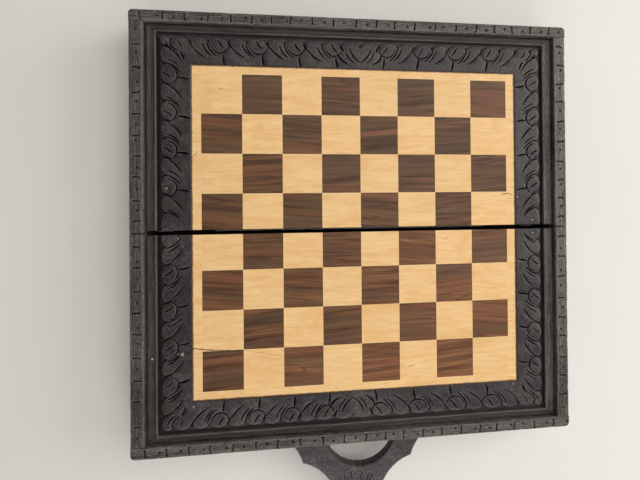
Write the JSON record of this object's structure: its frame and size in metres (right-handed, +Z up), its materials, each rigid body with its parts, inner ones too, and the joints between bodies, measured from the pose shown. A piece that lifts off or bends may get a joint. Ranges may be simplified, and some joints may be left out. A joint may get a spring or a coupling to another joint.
{
  "type": "backgammon set",
  "caption": "Carved wooden folding games box, open flat with its chess board up and its hollow backgammon side down, with a fixed plate handle.",
  "frame": {"origin": "centre of the open set's footprint, on the surface it lies on", "axes": "+X to the right along the fold, +Y away from the handle, +Z up out of the chess board"},
  "size_m": [0.476, 0.5416, 0.052],
  "materials": {
    "stained_wood": "dark stain, satin, worn on the edges",
    "carved_wood": "black-brown stain, satin",
    "plywood": "plain, sanded",
    "maple": "clear oil, satin",
    "walnut": "clear oil, satin",
    "field_wood": "clear varnish",
    "dark_point_wood": "clear varnish",
    "light_point_wood": "clear varnish",
    "nail_steel": "dull steel",
    "brass": "aged, satin",
    "light_checker_wood": "turned, waxed",
    "dark_checker_wood": "turned, waxed",
    "dice_resin": "polished, ivory coloured"
  },
  "bodies": {
    "far_half": {"far_end_wall": "stained_wood", "far_left_wall": "stained_wood", "far_right_wall": "stained_wood", "far_fold_wall": "stained_wood", "far_base_board": "plywood", "far_end_moulding": "stained_wood", "far_left_moulding": "stained_wood", "far_right_moulding": "stained_wood", "far_end_carving": "carved_wood", "far_left_carving": "carved_wood", "far_right_carving": "carved_wood", "far_maple_board": "maple", "far_walnut_squares": "walnut", "far_play_field": "field_wood", "far_dark_points": "dark_point_wood", "far_light_points": "light_point_wood", "far_nails": "nail_steel", "far_hinge_leaves": "brass", "hinge_pins": "brass", "far_hinge_screws": "brass", "latch_pins": "brass"},
    "near_half": {"near_end_wall": "stained_wood", "near_left_wall": "stained_wood", "near_right_wall": "stained_wood", "near_fold_wall": "stained_wood", "near_base_board": "plywood", "near_end_moulding": "stained_wood", "near_left_moulding": "stained_wood", "near_right_moulding": "stained_wood", "near_end_carving": "carved_wood", "near_left_carving": "carved_wood", "near_right_carving": "carved_wood", "near_maple_board": "maple", "near_walnut_squares": "walnut", "near_play_field": "field_wood", "near_dark_points": "dark_point_wood", "near_light_points": "light_point_wood", "near_nails": "nail_steel", "handle": "carved_wood", "handle_screws": "brass", "near_hinge_leaves": "brass", "near_hinge_screws": "brass", "latch_pivot_screws": "brass"},
    "left_latch": {"left_latch_hook": "brass"},
    "right_latch": {"right_latch_hook": "brass"},
    "light_pieces": {"light_checkers": "light_checker_wood"},
    "dark_pieces": {"dark_checkers": "dark_checker_wood"},
    "dice_pair": {"dice": "dice_resin"}
  },
  "joints": [
    {"name": "fold_hinge", "type": "hinge", "parent": "far_half", "child": "near_half", "pos_m": [0, 0.0382, 0.002], "axis": [1, 0, 0], "range_deg": [0, 180]},
    {"name": "left_latch_pivot", "type": "hinge", "parent": "near_half", "child": "left_latch", "pos_m": [-0.15, -0.1919, 0.014], "axis": [0, 1, 0], "range_deg": [0, 90]},
    {"name": "right_latch_pivot", "type": "hinge", "parent": "near_half", "child": "right_latch", "pos_m": [0.15, -0.1919, 0.014], "axis": [0, -1, 0], "range_deg": [0, 90]},
    {"name": "light_pieces_drop", "type": "slide", "parent": "far_half", "child": "light_pieces", "axis": [0, 0, -1], "range_m": [0, 0.033]},
    {"name": "dark_pieces_drop", "type": "slide", "parent": "far_half", "child": "dark_pieces", "axis": [0, 0, -1], "range_m": [0, 0.033]},
    {"name": "dice_drop", "type": "slide", "parent": "far_half", "child": "dice_pair", "axis": [0, 0, -1], "range_m": [0, 0.033]}
  ]
}
